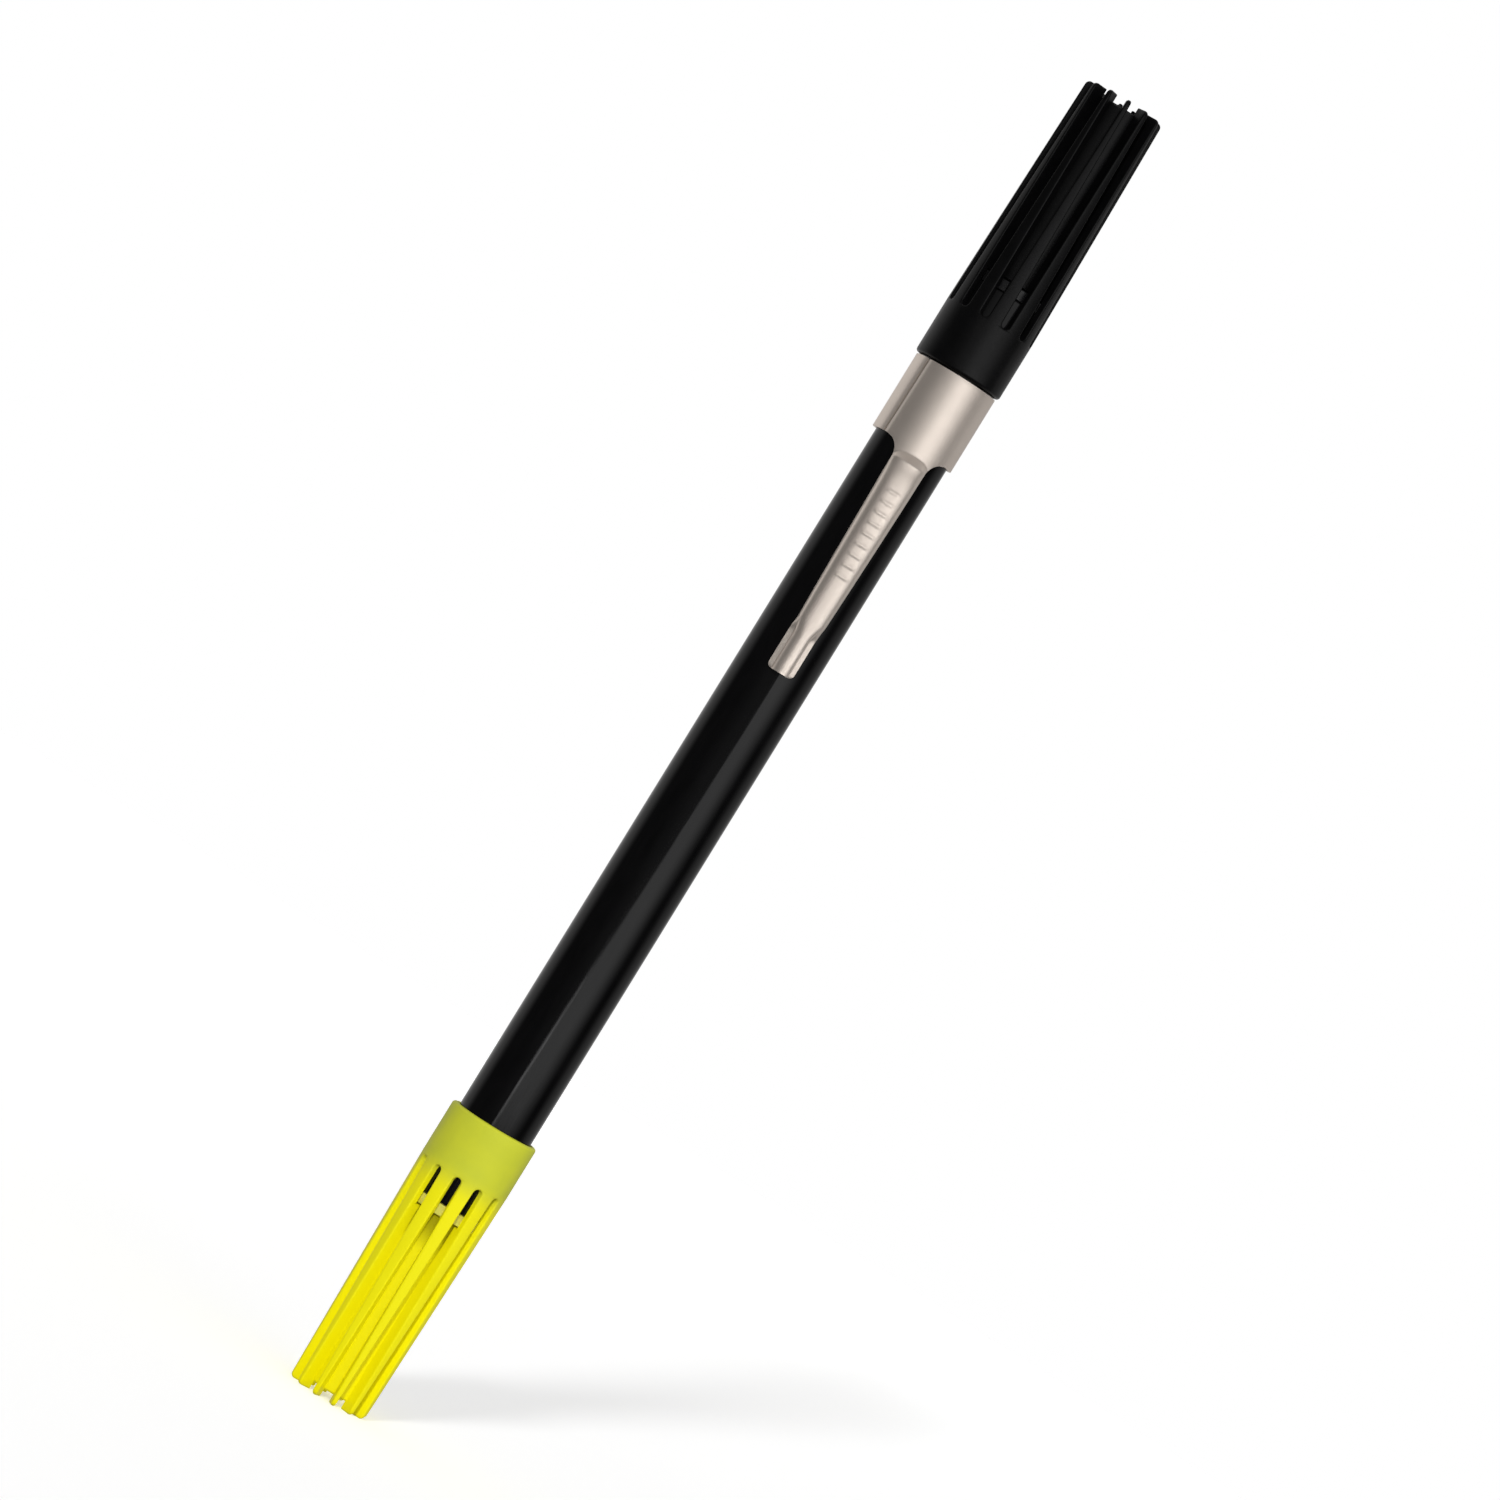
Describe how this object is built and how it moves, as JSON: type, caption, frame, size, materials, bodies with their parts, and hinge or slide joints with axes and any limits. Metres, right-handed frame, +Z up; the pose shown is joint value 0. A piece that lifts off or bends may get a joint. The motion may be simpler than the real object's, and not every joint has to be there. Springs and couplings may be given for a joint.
{
  "type": "lens cleaning pen",
  "caption": "Slim round cleaning pen with a vented push-on cap over each end and a sprung metal pocket clip on its barrel; felt and reservoir at one end, dust brush at the other.",
  "frame": {"origin": "on the pen's axis, in the plane of the yellow cap's fin tips that it stands on", "axes": "+Z up along the pen's axis towards the black cap, -Y out through the middle of the clip, +X to the right seen from the clip's side"},
  "size_m": [0.01, 0.0111, 0.158],
  "materials": {
    "barrel_black": "polished black polypropylene",
    "cap_yellow": "satin fluorescent yellow polypropylene, slightly translucent",
    "cap_black": "satin black polypropylene",
    "clip_nickel": "satin champagne nickel plate on spring steel",
    "holder_natural": "natural milky polypropylene",
    "holder_black": "satin black polypropylene",
    "felt_white": "pressed white felt",
    "reservoir_fibre": "white polyester fibre",
    "reservoir_film": "clear wrapping film",
    "breather_tubing": "natural tubing",
    "ferrule_nickel": "nickel plate",
    "brush_hair": "soft dark bristle",
    "epoxy_amber": "cured amber resin"
  },
  "bodies": {
    "yellow_cap": {"yellow_cap": "cap_yellow"},
    "barrel": {"barrel": "barrel_black", "tip_holder": "holder_natural", "cleaning_pad": "felt_white", "wick": "felt_white", "reservoir_core": "reservoir_fibre", "reservoir_film": "reservoir_film", "breather_tube": "breather_tubing", "reservoir_stop": "holder_natural", "brush_holder": "holder_black", "brush_ferrule": "ferrule_nickel", "bristle_glue_plug": "epoxy_amber", "brush_tuft": "brush_hair"},
    "black_cap": {"black_cap": "cap_black"},
    "clip_band": {"clip_band": "clip_nickel"},
    "clip_arm": {"clip_arm": "clip_nickel"}
  },
  "joints": [
    {"name": "yellow_cap_pull", "type": "slide", "parent": "yellow_cap", "child": "barrel", "axis": [0, 0, 1], "range_m": [0, 0.032]},
    {"name": "black_cap_pull", "type": "slide", "parent": "barrel", "child": "black_cap", "axis": [0, 0, 1], "range_m": [0, 0.034]},
    {"name": "clip_turn", "type": "hinge", "parent": "barrel", "child": "clip_band", "pos_m": [0, 0, 0.12005], "axis": [0, 0, 1], "continuous": true},
    {"name": "clip_flex", "type": "hinge", "parent": "clip_band", "child": "clip_arm", "pos_m": [0, -0.00455, 0.1152], "axis": [-1, 0, 0], "range_deg": [0, 6], "stiffness_Nm_per_rad": 0.6, "springref_deg": -1.72}
  ]
}
